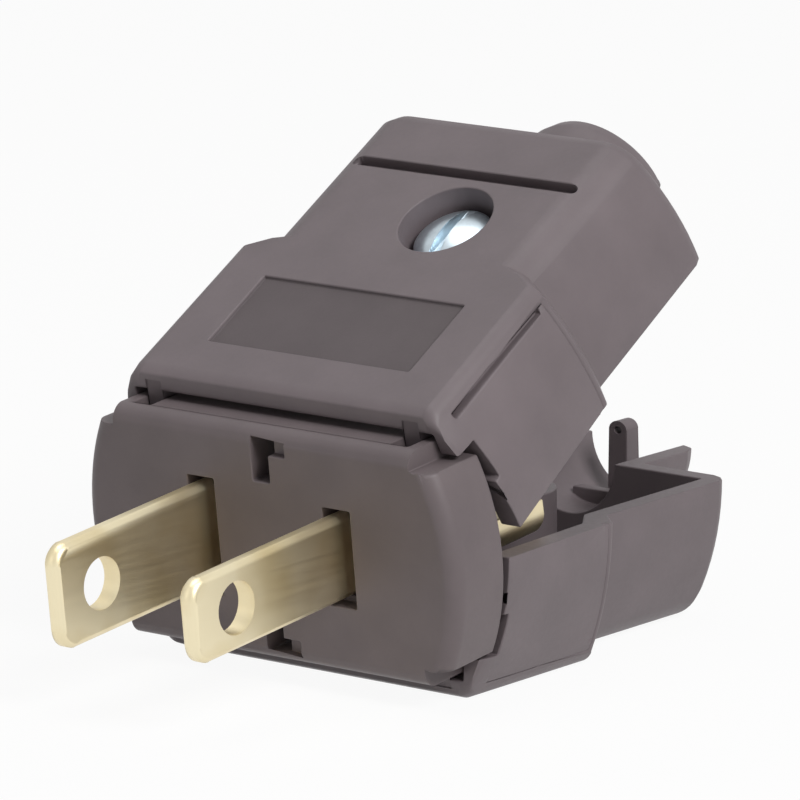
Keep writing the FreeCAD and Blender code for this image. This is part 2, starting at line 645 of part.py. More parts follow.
def make_screw(label, across, along, seat, radius, head, shank_radius, shank_long):
    """A slotted screw: seat is the height of the underside of its head."""
    body = new_body(label)
    shank = new_sketch(body, "Shank", "XY", seat - shank_long)
    draw_circle(shank, across, along, shank_radius)
    pad(body, "ShankPad", shank, shank_long, 1)
    top = new_sketch(body, "Head", "XY", seat)
    draw_circle(top, across, along, radius)
    solid = pad(body, "HeadPad", top, head, 1)
    level = (seat + head).value
    dress(body, "Chamfer", "HeadSlope", solid, head / 3,
          lambda edge: near(edge.BoundBox.ZMin, level) and near(edge.BoundBox.ZMax, level))
    slot = new_sketch(body, "DriverSlot", "XY", seat + head)
    draw_box(slot, across - radius * 2, along - slot_half, across + radius * 2, along + slot_half)
    pocket(body, "CutDriverSlot", slot, slot_deep, -1)
    return body


def make_insert():
    """The threaded insert, drawn with the lower jaw's flat face up like its moulding."""
    body = new_body("closing_insert")
    ring = new_sketch(body, "Ring", "XY", insert_drop)
    draw_circle(ring, -screw_x, screw_y, insert_r)
    pad(body, "RingPad", ring, insert_long, 1)
    hole = new_sketch(body, "InsertHole", "XY", insert_drop)
    draw_circle(hole, -screw_x, screw_y, shank_r + turn_play)
    pocket(body, "CutInsertHole", hole, insert_long, 1)
    return body


face_block = make_face_block()
upper_jaw = make_upper_jaw()
lower_jaw = make_lower_jaw()
neutral_blade = make_blade("neutral_blade", -1)
line_blade = make_blade("line_blade", 1)
terminal_screws = [
    make_screw(name, terminal_x * sign, terminal_y, as_size(0), terminal_head_r, terminal_head_high,
               terminal_shank_r, terminal_shank)
    for name, sign in (("neutral_terminal_screw", -1), ("line_terminal_screw", 1))]
closing_seat = jaw_high - head_sunk - head_high
closing_screw = make_screw("closing_screw", screw_x, screw_y, closing_seat, head_r, head_high,
                           shank_r, closing_seat - tip_lift)
closing_insert = make_insert()

# Placements: the lower jaw stands on its flat face, the block and the upper jaw are opened from it.
# The row's origin lies on the lower jaw's flat face, under the closing screw's line.
stand = Vector(0, -screw_y.value, jaw_high.value)
flip = Placement(stand, Rotation(Vector(0, 1, 0), 180))


def opened(pivot_z, degrees):
    pivot = Vector(0, hinge_y.value, pivot_z)
    return Placement(Vector(), Rotation(Vector(1, 0, 0), degrees), pivot)


block_place = Placement(stand, Rotation()).multiply(opened(-hinge_z.value, LOWER_OPEN))
upper_place = block_place.multiply(opened(hinge_z.value, UPPER_OPEN))
for piece in (lower_jaw, closing_insert):
    piece.Placement = flip
for piece in [face_block, neutral_blade, line_blade] + terminal_screws:
    piece.Placement = block_place
for piece in (upper_jaw, closing_screw):
    piece.Placement = upper_place
doc.recompute()

pieces = [lower_jaw, closing_insert, face_block, neutral_blade, line_blade] + terminal_screws
pieces = pieces + [upper_jaw, closing_screw]
for item in doc.Objects:
    if "Invalid" in item.State or "Error" in item.State:
        raise RuntimeError(f"{item.Name} failed: {item.State}")
os.makedirs("parts", exist_ok=True)
for piece in pieces:
    if piece.Shape.isNull() or not piece.Shape.isValid() or len(piece.Shape.Solids) != 1:
        raise RuntimeError(f"{piece.Label} is not one valid solid")
    piece.Shape.exportStep(f"parts/{piece.Label}.step")
    print(piece.Label, round(piece.Shape.Volume, 1), "mm3")
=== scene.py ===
"""Looks for a hinged rewirable plug: moulded jaws and face block, brass blades, zinc-plated screws."""

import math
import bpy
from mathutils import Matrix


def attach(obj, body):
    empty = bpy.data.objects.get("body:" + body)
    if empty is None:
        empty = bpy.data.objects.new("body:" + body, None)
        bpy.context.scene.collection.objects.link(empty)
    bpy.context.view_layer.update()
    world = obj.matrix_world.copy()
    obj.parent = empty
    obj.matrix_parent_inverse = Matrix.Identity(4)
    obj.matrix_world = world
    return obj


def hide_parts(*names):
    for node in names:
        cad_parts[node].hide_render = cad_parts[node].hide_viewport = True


bl_info = {
    "name": "Hinged Rewirable Plug",
    "version": (1, 0, 0),
    "blender": (4, 5, 0),
    "location": "View3D > Sidebar > Hinged Plug",
    "description": "Finishes the mouldings, blades and screws of a two-blade plug and sets its stage",
    "category": "Object",
}

import bmesh
import bpy
from mathutils import Matrix, Vector

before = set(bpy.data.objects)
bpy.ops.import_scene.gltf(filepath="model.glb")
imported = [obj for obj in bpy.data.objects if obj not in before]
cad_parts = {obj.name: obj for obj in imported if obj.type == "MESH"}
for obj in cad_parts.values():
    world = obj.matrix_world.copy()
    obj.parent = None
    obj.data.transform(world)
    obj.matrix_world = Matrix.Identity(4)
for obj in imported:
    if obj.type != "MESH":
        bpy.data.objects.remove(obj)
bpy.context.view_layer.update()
MM = 0.001


# Where the parts stand, in millimetres and degrees. A part's own frame has its origin on the middle
# plane at the block's face, +Y towards the cord inlet, and +Z up from the plane where the jaws meet.

JAW_HIGH = 11.05
SCREW_X, SCREW_Y, SCREW_SEAT = 1.8, 25.0, 8.05
TERMINAL_X, TERMINAL_Y = 9.75, 10.8
HINGE_Y, HINGE_Z = 3.6, 5.9
LOWER_OPEN, UPPER_OPEN = 6.4, 24.0


def opened(height, degrees):
    """Turn about a hinge line that lies behind the face and this high over the parting plane."""
    pivot = Vector((0, HINGE_Y, height))
    turn = Matrix.Rotation(math.radians(degrees), 4, "X")
    return Matrix.Translation(pivot) @ turn @ Matrix.Translation(-pivot)


LOWER_PLACE = Matrix.Translation((0, -SCREW_Y, JAW_HIGH))
BLOCK_PLACE = LOWER_PLACE @ opened(-HINGE_Z, LOWER_OPEN)
UPPER_PLACE = BLOCK_PLACE @ opened(HINGE_Z, UPPER_OPEN)
FLIPPED = LOWER_PLACE @ Matrix.Rotation(math.pi, 4, "Y")


# Colours, shaders and small mesh helpers

def linear(colour):
    """sRGB hex text to linear red, green, blue, alpha."""
    parts = [int(colour[i:i + 2], 16) / 255 for i in (1, 3, 5)]
    return tuple(c / 12.92 if c <= 0.04045 else ((c + 0.055) / 1.055) ** 2.4 for c in parts) + (1.0,)


def new_material(name):
    """An empty node material and its tree."""
    material = bpy.data.materials.new(name)
    material.use_nodes = True
    material.node_tree.nodes.clear()
    return material, material.node_tree


def add(tree, kind, inputs=None, **settings):
    """Add a node. settings name its properties or, where it has none of that name, its sockets. inputs
    give a socket a number, another node's socket, or a node whose first output is meant."""
    node = tree.nodes.new(kind)
    for name, value in settings.items():
        if hasattr(node, name):
            setattr(node, name, value)
        else:
            node.inputs[name.replace("_", " ")].default_value = value
    for socket, source in (inputs or {}).items():
        if isinstance(source, (int, float)):
            node.inputs[socket].default_value = source
        else:
            output = source.outputs[0] if isinstance(source, bpy.types.Node) else source
            tree.links.new(output, node.inputs[socket])
    return node


def smooth(mesh, degrees):
    """Shade smooth, with edges sharper than this left crisp."""
    mesh.shade_smooth()
    mesh.set_sharp_from_angle(angle=math.radians(degrees))


def in_row(place):
    """From a part's own frame in millimetres to the row's frame in metres."""
    return Matrix.Scale(MM, 4) @ place


def new_piece(name, data):
    """An object with this mesh, light or camera, in the scene."""
    piece = bpy.data.objects.new(name, data)
    bpy.context.scene.collection.objects.link(piece)
    return piece


def piece_from(work, name):
    """A piece from a bmesh, which is freed."""
    mesh = bpy.data.meshes.new(name)
    work.to_mesh(mesh)
    work.free()
    return new_piece(name, mesh)


def applied(piece):
    """The piece's mesh with its modifiers worked in, and the modifiers gone."""
    graph = bpy.context.evaluated_depsgraph_get()
    result = bpy.data.meshes.new_from_object(piece.evaluated_get(graph), depsgraph=graph)
    result.name = piece.name
    piece.modifiers.clear()
    piece.data = result
    return result


# A moulded edge is broken only where it is this many times longer than its radius, and its faces this
# many times wider
EDGE_LENGTHS, FACE_WIDTHS = 2.2, 1.3


def soften_edges(piece, width, crease):
    """Break the edges sharper than crease degrees by a small radius, except where they are short or
    border a face too narrow to take it."""
    work = bmesh.new()
    work.from_mesh(piece.data)
    weight = work.edges.layers.float.new("bevel_weight_edge")
    for edge in work.edges:
        if not edge.is_manifold or edge.calc_length() < EDGE_LENGTHS * width:
            continue
        room = min(face.calc_area() / max(side.calc_length() for side in face.edges)
                   for face in edge.link_faces)
        if room > FACE_WIDTHS * width and edge.calc_face_angle() > math.radians(crease):
            edge[weight] = 1.0
    work.to_mesh(piece.data)
    work.free()
    bevel = piece.modifiers.new("EdgeRadius", "BEVEL")
    bevel.width = width
    bevel.segments = 2
    bevel.limit_method = "WEIGHT"
    bevel.use_clamp_overlap = False
    bevel.miter_outer = "MITER_ARC"
    applied(piece)


def even_shading(piece, degrees):
    """Smooth shading that follows the large faces, with edges sharper than this left crisp."""
    smooth(piece.data, degrees)
    even = piece.modifiers.new("EvenShading", "WEIGHTED_NORMAL")
    even.keep_sharp = True
    applied(piece)


def trim(piece, tool, operation):
    """Work a tool piece into a piece, and remove the tool."""
    cut = piece.modifiers.new("Trim", "BOOLEAN")
    cut.operation = operation
    cut.solver = "EXACT"
    cut.object = tool
    applied(piece)
    bpy.data.objects.remove(tool)


# A CAD copy's points nearer than this are one point, in metres, and faces that meet flatter than this
# are one face, in degrees
MERGE, FLAT = 0.002 * MM, 0.6
# Degrees over which a moulded or stamped edge gets its radius, and over which it is shaded crisp
CREASE, CRISP = 30, 38


def softened_copy(node, name, width, body, material, place=None, fit=None, fillers=(),
                  envelope=None):
    """A merged copy of a CAD piece with its edges broken by a small radius. Its points may first be
    fitted in the part's own frame, its grooves filled, and its outside trimmed by an envelope."""
    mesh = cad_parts[node].data.copy()
    mesh.name = name
    piece = new_piece(name, mesh)
    work = bmesh.new()
    work.from_mesh(mesh)
    bmesh.ops.remove_doubles(work, verts=work.verts, dist=MERGE)
    if fit:
        work.transform(in_row(place).inverted())
        for point in work.verts:
            fit(point.co)
        work.transform(in_row(place))
        bmesh.ops.remove_doubles(work, verts=work.verts, dist=MERGE)
        bmesh.ops.dissolve_degenerate(work, edges=work.edges, dist=MERGE)
    bmesh.ops.dissolve_limit(work, angle_limit=math.radians(FLAT), verts=work.verts, edges=work.edges)
    work.to_mesh(mesh)
    work.free()
    mesh.materials.clear()
    mesh.materials.append(material)
    for filler in fillers:
        trim(piece, filler, "UNION")
    if envelope:
        trim(piece, envelope, "INTERSECT")
    soften_edges(piece, width * MM, CREASE)
    even_shading(piece, CRISP)
    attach(piece, body)
    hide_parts(node)
    return piece


def lathe(name, profile, segments):
    """A closed turned solid: profile lists (radius, height) from the axis round to the axis."""
    work = bmesh.new()
    rings = []
    for radius, height in profile:
        if radius < 1e-6:
            rings.append([work.verts.new((0, 0, height))])
            continue
        turns = [2 * math.pi * i / segments for i in range(segments)]
        rings.append([work.verts.new((radius * math.cos(turn), radius * math.sin(turn), height))
                      for turn in turns])
    for low, high in zip(rings, rings[1:]):
        for i in range(segments):
            j = (i + 1) % segments
            if len(low) == 1:
                work.faces.new((low[0], high[j], high[i]))
            elif len(high) == 1:
                work.faces.new((low[i], low[j], high[0]))
            else:
                work.faces.new((low[i], low[j], high[j], high[i]))
    bmesh.ops.recalc_face_normals(work, faces=work.faces)
    return piece_from(work, name)


# The jaws, in a jaw's own frame with its flat face up, in millimetres

# The wide part's half widths, at the rim in front and at the shoulder, and at the flat top
RIM_FRONT, RIM_SHOULDER, TOP_WIDE = 17.45, 16.3, 13.9
# Places along the jaw of the hood's front, the shoulder and the nose's end
HOOD_Y, SHOULDER_Y, NOSE_END = 5.75, 19.4, 43.9
# The heights between which the side line is filled, and how far in its fillers reach
LINE_LOW, LINE_TOP, FILL_INSIDE = 9.0, 9.9, 13.3
# How far below the side's own curve a filled groove lies, so that it never stands proud
FILL_BELOW = 0.015
# The hinge arm's front in the solids and in the photograph
ARM_FRONT, ARM_FRONT_SEEN = 4.0, 4.75
# The closing screw's recess: its radius and floor in the solids, and the share of that radius that it
# has in the photograph
RECESS_RADIUS, RECESS_FLOOR, RECESS_SHARE = 4.0, 5.05, 0.93
# The cord post: its middle, half its room across and along, the height below which its points lie,
# and its shares across, along and up
POST_Y, POST_ROOM, POST_UNDER, POST_SHARES = 42.0, (1.35, 1.1), 4.5, (0.65, 0.75, 0.55)


def side_at(rim, top, high, height):
    """Half width of a bulging side at a height: upright at the rim, top wide where it is high."""
    bulge = rim - top
    radius = (high * high + bulge * bulge) / (2 * bulge)
    return rim - radius + math.sqrt(radius * radius - height * height)


def wide_side(along, height):
    """Half width of the jaw's wide part, whose sides draw in a little towards the shoulder."""
    share = (along - HOOD_Y) / (SHOULDER_Y - HOOD_Y)
    front = side_at(RIM_FRONT, TOP_WIDE, JAW_HIGH + 0.02, height)
    rear = side_at(RIM_SHOULDER, TOP_WIDE, JAW_HIGH + 0.02, height)
    return front + (rear - front) * share


def fit_front(point):
    """Set the hinge arm's front back under the hood's edge."""
    if 11.3 < abs(point.x) < 13.0 and abs(point.y - ARM_FRONT) < 0.1 and point.z > 8.0:
        point.y = ARM_FRONT_SEEN


def fit_upper(point):
    """The closing screw's recess is a little narrower."""
    fit_front(point)
    across, along = point.x - SCREW_X, point.y - SCREW_Y
    if abs(math.hypot(across, along) - RECESS_RADIUS) < 0.03 and point.z > RECESS_FLOOR - 0.15:
        point.x, point.y = SCREW_X + across * RECESS_SHARE, SCREW_Y + along * RECESS_SHARE


def fit_lower(point):
    """The cord post is short and slender."""
    fit_front(point)
    along = point.y - POST_Y
    if abs(along) < POST_ROOM[1] and abs(point.x) < POST_ROOM[0] and point.z < POST_UNDER:
        point.x *= POST_SHARES[0]
        point.y = POST_Y + along * POST_SHARES[1]
        if point.z < 0:
            point.z *= POST_SHARES[2]


def prism(name, sections, place):
    """A closed form through sections, each a list of (across, along, up) in the same order."""
    work = bmesh.new()
    loops = [[work.verts.new(point) for point in section] for section in sections]
    for near, far in zip(loops, loops[1:]):
        for i in range(len(near)):
            j = (i + 1) % len(near)
            work.faces.new((near[i], near[j], far[j], far[i]))
    work.faces.new(loops[0])
    work.faces.new(loops[-1])
    bmesh.ops.recalc_face_normals(work, faces=work.faces)
    work.transform(in_row(place))
    return piece_from(work, name)


def groove_fillers(place, line_stays):
    """Strips that fill the grooves beside the jaw's wide part. Where the line along the side's upper
    edge stays, a strip behind it only closes the wall."""
    fillers = []
    low, steps = 0.09, 10
    heights = [low + (LINE_TOP - low) * i / steps for i in range(steps + 1)]
    for sign in (-1, 1):
        sections = []
        for along in (18.35, 18.95):
            outside = [(sign * (wide_side(along, up) - FILL_BELOW), along, up) for up in heights]
            inside = [(sign * (wide_side(along, up) - 0.8), along, up) for up in reversed(heights)]
            sections.append(outside + inside)
        fillers.append(prism("rear_filler", sections, place))
        if line_stays:
            behind = [(FILL_INSIDE, LINE_LOW), (14.3, LINE_LOW), (14.3, 9.38), (14.06, 9.38),
                      (14.06, 9.7), (FILL_INSIDE, 9.7)]
            sections = [[(sign * across, along, up) for across, up in behind] for along in (6.0, 9.8)]
        else:
            sections = [[(sign * FILL_INSIDE, along, LINE_LOW)]
                        + [(sign * (wide_side(along, up) - FILL_BELOW), along, up)
                           for up in (LINE_LOW, 9.3, 9.6, LINE_TOP)]
                        + [(sign * FILL_INSIDE, along, LINE_TOP)] for along in (6.3, 18.9)]
        fillers.append(prism("line_filler", sections, place))
    return fillers


def jaw_section(rim, top, high, rounding):
    """Points of a jaw's outside from the rim over the rounded edge to the flat, and mirrored."""
    bulge = rim - top
    radius = (high * high + bulge * bulge) / (2 * bulge)
    centre = rim - radius
    inside = radius - rounding
    low = high - rounding
    run = math.sqrt(inside * inside - low * low)
    flat, start = centre + run, math.atan2(low, run)
    level = low * radius / inside
    side_steps, edge_steps, under = 8, 9, -8.0
    half = [(rim, under)]
    half += [(side_at(rim, top, high, level * i / side_steps), level * i / side_steps)
             for i in range(side_steps)]
    for i in range(edge_steps + 1):
        turn = start + (math.pi / 2 - start) * i / edge_steps
        half.append((flat + rounding * math.cos(turn), low + rounding * math.sin(turn)))
    return half + [(-across, up) for across, up in reversed(half)]


def jaw_envelope(place, rounding):
    """A closed form that lies just outside a jaw, except where it rounds the waist's edges."""
    high = JAW_HIGH + 0.004
    # Each station: place along the jaw, half width at the rim and at the top, height, edge radius
    stations = [(-4.0, 21.0, 18.0, 14.0, 1.0), (19.2, 21.0, 18.0, 14.0, 1.0),
                (19.41, 16.6, 14.2, 11.4, 1.2), (21.02, 14.63, 11.33, high, rounding),
                (35.0, 14.33, 11.33, high, rounding), (35.9, 14.0, 11.0, high - 0.32, rounding),
                (36.4, 13.5, 10.5, high - 0.8, rounding), (36.72, 12.7, 9.8, high - 1.5, rounding),
                (36.74, 8.0, 7.5, 9.0, 1.0), (NOSE_END + 2, 8.0, 7.5, 9.0, 1.0)]
    sections = [[(across, along, up) for across, up in jaw_section(rim, top, tall, edge)]
                for along, rim, top, tall, edge in stations]
    return prism("jaw_envelope", sections, place)


# The shallow plate recess in the upper jaw's flat face: half its width, then its floor's bounds along
# and up
PLATE_HALF, PLATE_ALONG, PLATE_UP = 9.5, (8.8, 16.4), (10.6, 10.9)


def finish_plate(piece, material):
    """Give the plate recess's floor its own material."""
    piece.data.materials.append(material)
    into_jaw = in_row(UPPER_PLACE).inverted()
    for face in piece.data.polygons:
        spot = into_jaw @ face.center
        if (abs(spot.x) < PLATE_HALF and PLATE_ALONG[0] < spot.y < PLATE_ALONG[1]
                and PLATE_UP[0] < spot.z < PLATE_UP[1]):
            face.material_index = 1


# Screws

# Screw heads clear their seats by this much, so that faces never lie in one another, in millimetres
SEAT_GAP = 0.03
# The head's sides round, its dome's rings, its underside's chamfer and the radius of its edges
HEAD_SIDES, DOME_RINGS, HEAD_CHAMFER, HEAD_EDGE = 72, 8, 0.1, 0.07
# How far the shank's top reaches above the seat, into the head
SHANK_INTO = 0.1
# The driver slot's half width, and its depth below the dome's top
SLOT_HALF, SLOT_DEEP = 0.45, 0.9
# Degrees over which a turned edge gets its radius and is shaded crisp
TURNED_CREASE = 32
# A thread's points round the shank, one more than its sides, and its rows for each pitch
THREAD_ROUND, THREAD_ROWS = 37, 8.0
# A thread's depth as a share of its pitch
THREAD_DEEP = 0.6

MATH = "ShaderNodeMath"


def thread_tree():
    """Geometry Nodes for a threaded shank: a grid wound round the axis whose radius follows a V
    groove that climbs one pitch a turn, drawn in to the axis at both ends."""
    tree = bpy.data.node_groups.new("ThreadedShank", "GeometryNodeTree")
    tree.interface.new_socket("Geometry", in_out="OUTPUT", socket_type="NodeSocketGeometry")
    for name in ("Radius", "Length", "Pitch", "Depth"):
        tree.interface.new_socket(name, in_out="INPUT", socket_type="NodeSocketFloat")
    tree.interface.new_socket("Material", in_out="INPUT", socket_type="NodeSocketMaterial")
    given = add(tree, "NodeGroupInput").outputs

    turns = add(tree, MATH, {0: given["Length"], 1: given["Pitch"]}, operation="DIVIDE")
    steps = add(tree, MATH, {0: turns, 1: THREAD_ROWS}, operation="MULTIPLY")
    whole = add(tree, MATH, {0: steps}, operation="CEIL")
    rows = add(tree, MATH, {0: whole, 1: 3.0}, operation="ADD")
    grid = add(tree, "GeometryNodeMeshGrid", {"Vertices Y": rows}, Vertices_X=THREAD_ROUND)
    shares = add(tree, "ShaderNodeSeparateXYZ", {"Vector": grid.outputs["UV Map"]}).outputs
    around, along = shares["X"], shares["Y"]

    # The groove's depth: a V that runs from 0 to 1 and back within each pitch
    height = add(tree, MATH, {0: along, 1: given["Length"]}, operation="MULTIPLY")
    pitches = add(tree, MATH, {0: height, 1: given["Pitch"]}, operation="DIVIDE")
    climb = add(tree, MATH, {0: pitches, 1: around}, operation="SUBTRACT")
    within = add(tree, MATH, {0: climb}, operation="FRACT")
    doubled = add(tree, MATH, {0: within, 1: 2.0}, operation="MULTIPLY")
    centred = add(tree, MATH, {0: doubled, 1: 1.0}, operation="SUBTRACT")
    crest = add(tree, MATH, {0: centred}, operation="ABSOLUTE")
    valley = add(tree, MATH, {0: 1.0, 1: crest}, operation="SUBTRACT")
    groove = add(tree, MATH, {0: valley, 1: given["Depth"]}, operation="MULTIPLY")
    grooved = add(tree, MATH, {0: given["Radius"], 1: groove}, operation="SUBTRACT")

    # Both end rows go to the axis, which closes the shank
    past_start = add(tree, MATH, {0: along, 1: 0.001}, operation="GREATER_THAN")
    before_end = add(tree, MATH, {0: along, 1: 0.999}, operation="LESS_THAN")
    inner = add(tree, MATH, {0: past_start, 1: before_end}, operation="MULTIPLY")
    radius = add(tree, MATH, {0: grooved, 1: inner}, operation="MULTIPLY")

    angle = add(tree, MATH, {0: around, 1: 2 * math.pi}, operation="MULTIPLY")
    cosine = add(tree, MATH, {0: angle}, operation="COSINE")
    sine = add(tree, MATH, {0: angle}, operation="SINE")
    wound = add(tree, "ShaderNodeCombineXYZ",
                {"X": add(tree, MATH, {0: radius, 1: cosine}, operation="MULTIPLY"),
                 "Y": add(tree, MATH, {0: radius, 1: sine}, operation="MULTIPLY"), "Z": height})
    placed = add(tree, "GeometryNodeSetPosition", {"Geometry": grid, "Position": wound})
    merged = add(tree, "GeometryNodeMergeByDistance", {"Geometry": placed}, Distance=0.001)
    real = add(tree, "GeometryNodeRealizeInstances", {"Geometry": merged})
    finished = add(tree, "GeometryNodeSetMaterial", {"Geometry": real, "Material": given["Material"]})
    add(tree, "NodeGroupOutput", {"Geometry": finished})
    return tree


def threaded_shank(tree, radius, length, pitch, material):
    """The threaded part of a screw as a plain mesh, from its tip at height 0."""
    piece = new_piece("threaded_shank", bpy.data.meshes.new("threaded_shank"))
    wind = piece.modifiers.new("Thread", "NODES")
    wind.node_group = tree
    sizes = {"Radius": radius, "Length": length, "Pitch": pitch, "Depth": pitch * THREAD_DEEP,
             "Material": material}
    for socket in tree.interface.items_tree:
        if socket.in_out == "INPUT":
            wind[socket.identifier] = sizes[socket.name]
    mesh = applied(piece)
    bpy.data.objects.remove(piece)
    return mesh


def slotted_screw(node, name, body, place, tree, head, shank, pitch, material):
    """A screw with a domed, slotted head and a threaded shank. head is (radius, side height, dome
    height) and shank is (radius, length); place puts the head's seat at height 0."""
    radius, side, dome = head
    sphere = (radius * radius + dome * dome) / (2 * dome)
    profile = [(0.0, SEAT_GAP), (radius - HEAD_CHAMFER, SEAT_GAP), (radius, HEAD_CHAMFER + SEAT_GAP),
               (radius, side)]
    for i in range(1, DOME_RINGS):
        out = radius * (1 - i / DOME_RINGS)
        profile.append((out, side + dome - sphere + math.sqrt(sphere * sphere - out * out)))
    profile.append((0.0, side + dome))
    piece = lathe(name, profile, HEAD_SIDES)
    slot = lathe("driver_slot", [(0.0, 0.0), (1.0, 0.0), (1.0, 1.0), (0.0, 1.0)], 4)
    slot.data.transform(Matrix.Diagonal((SLOT_HALF * math.sqrt(2), radius * 3, 2.0, 1.0))
                        @ Matrix.Rotation(math.pi / 4, 4, "Z"))
    slot.data.transform(Matrix.Translation((0, 0, side + dome - SLOT_DEEP)))
    trim(piece, slot, "DIFFERENCE")
    soften_edges(piece, HEAD_EDGE, TURNED_CREASE)
    solid = piece.data
    work = bmesh.new()
    work.from_mesh(solid)
    thread = threaded_shank(tree, shank[0], shank[1], pitch, material)
    thread.transform(Matrix.Translation((0, 0, -shank[1] + SHANK_INTO)))
    work.from_mesh(thread)
    work.transform(in_row(place))
    work.to_mesh(solid)
    work.free()
    solid.materials.clear()
    solid.materials.append(material)
    smooth(solid, TURNED_CREASE)
    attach(piece, body)
    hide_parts(node)
    return piece


# Materials

def moulded_thermoplastic(name, colour, roughness, grain_mm):
    """Injection-moulded thermoplastic with a fine satin texture from its mould. Broad soft sheen,
    slight mottling of the grey-brown pigment, no sparkle."""
    material, tree = new_material(name)
    place = add(tree, "ShaderNodeTexCoord").outputs["Object"]
    # The pigment's clouds are about 5 mm across
    cloud = add(tree, "ShaderNodeTexNoise", {"Vector": place}, Scale=1 / (5.0 * MM), Detail=3.0)
    base = linear(colour)
    pigment = add(tree, "ShaderNodeValToRGB", {"Fac": cloud.outputs["Fac"]})
    darker, lighter = pigment.color_ramp.elements
    darker.position, darker.color = 0.3, tuple(c * 0.91 for c in base[:3]) + (1.0,)
    lighter.position, lighter.color = 0.72, tuple(min(c * 1.07, 1) for c in base[:3]) + (1.0,)
    # The mould's spark texture is about 0.1 mm; drawn at grain_mm so that it shows in the render
    grain = add(tree, "ShaderNodeTexNoise", {"Vector": place}, Scale=1 / (grain_mm * MM), Detail=4.0)
    sheen = add(tree, "ShaderNodeMapRange", {"Value": grain.outputs["Fac"]},
                To_Min=roughness - 0.07, To_Max=roughness + 0.09)
    bump = add(tree, "ShaderNodeBump", {"Height": grain.outputs["Fac"]}, Strength=0.35,
               Distance=0.02 * MM)
    shader = add(tree, "ShaderNodeBsdfPrincipled",
                 {"Base Color": pigment, "Roughness": sheen, "Normal": bump}, IOR=1.49)
    add(tree, "ShaderNodeOutputMaterial", {"Surface": shader})
    return material


def rolled_brass(name, colour, tarnish, roughness):
    """Cartridge brass strip, cold rolled and stamped. Faint lines run along the strip, and a thin
    tarnish dulls it a little in patches."""
    material, tree = new_material(name)
    place = add(tree, "ShaderNodeTexCoord").outputs["Object"]
    # Rolling lines are under 0.1 mm apart; drawn at 0.3 mm so that they show in the render, and
    # stretched forty times along the strip
    along = add(tree, "ShaderNodeMapping", {"Vector": place}, Scale=(1.0, 0.025, 1.0))
    lines = add(tree, "ShaderNodeTexNoise", {"Vector": along}, Scale=1 / (0.3 * MM), Detail=1.0)
    # Patches of tarnish about 6 mm across
    patches = add(tree, "ShaderNodeTexNoise", {"Vector": place}, Scale=1 / (6.0 * MM), Detail=2.0)
    film = add(tree, "ShaderNodeValToRGB", {"Fac": patches.outputs["Fac"]})
    clean, dulled = film.color_ramp.elements
    clean.position, clean.color = 0.4, linear(colour)
    dulled.position, dulled.color = 0.75, linear(tarnish)
    gloss = add(tree, "ShaderNodeMapRange", {"Value": lines.outputs["Fac"]},
                To_Min=roughness - 0.04, To_Max=roughness + 0.05)
    bump = add(tree, "ShaderNodeBump", {"Height": lines.outputs["Fac"]}, Strength=0.1, Distance=0.01 * MM)
    shader = add(tree, "ShaderNodeBsdfPrincipled",
                 {"Base Color": film, "Roughness": gloss, "Normal": bump}, Metallic=1.0)
    add(tree, "ShaderNodeOutputMaterial", {"Surface": shader})
    return material


def zinc_plated_steel(name, colour, roughness):
    """Bright zinc plating with a blue passivate over turned steel. Cool, fairly glossy, and faintly
    blotched."""
    material, tree = new_material(name)
    place = add(tree, "ShaderNodeTexCoord").outputs["Object"]
    # The passivate's blotches are about 1 mm across
    blotch = add(tree, "ShaderNodeTexNoise", {"Vector": place}, Scale=1 / (0.9 * MM), Detail=3.0)
    base = linear(colour)
    tint = add(tree, "ShaderNodeValToRGB", {"Fac": blotch.outputs["Fac"]})
    bright, dull = tint.color_ramp.elements
    bright.position, bright.color = 0.35, base
    dull.position, dull.color = 0.7, tuple(c * 0.8 for c in base[:3]) + (1.0,)
    gloss = add(tree, "ShaderNodeMapRange", {"Value": blotch.outputs["Fac"]},
                To_Min=roughness - 0.06, To_Max=roughness + 0.08)
    shader = add(tree, "ShaderNodeBsdfPrincipled", {"Base Color": tint, "Roughness": gloss}, Metallic=1.0)
    add(tree, "ShaderNodeOutputMaterial", {"Surface": shader})
    return material


# Sizes and colours that a user would change

class HingedPlugMouldings(bpy.types.PropertyGroup):
    jaw_colour: bpy.props.StringProperty(
        name="Jaw colour", description="sRGB hex of the two jaws", default="#706669")
    block_colour: bpy.props.StringProperty(
        name="Block colour", description="sRGB hex of the face block", default="#6B6163")
    recess_colour: bpy.props.StringProperty(
        name="Recess colour", description="sRGB hex of the matt floor of the upper jaw's plate recess",
        default="#5E5658")
    roughness: bpy.props.FloatProperty(
        name="Roughness", description="Mean roughness of the moulded surface", default=0.5, min=0.2,
        max=0.9, subtype="FACTOR")
    recess_roughness: bpy.props.FloatProperty(
        name="Recess roughness", description="Mean roughness of the plate recess's floor",
        default=0.72, min=0.2, max=0.9, subtype="FACTOR")
    grain: bpy.props.FloatProperty(
        name="Grain", description="Size of the mould texture, in millimetres", default=0.35, min=0.05,
        max=1.0)
    edge: bpy.props.FloatProperty(
        name="Edge radius", description="Moulded radius of the small edges, in millimetres",
        default=0.12, min=0.02, max=0.3)
    upper_round: bpy.props.FloatProperty(
        name="Upper waist radius", description="Radius along the upper jaw's waist, in millimetres",
        default=3.2, min=1.6, max=3.6)
    lower_round: bpy.props.FloatProperty(
        name="Lower waist radius", description="Radius along the lower jaw's waist, in millimetres",
        default=3.6, min=1.6, max=3.6)


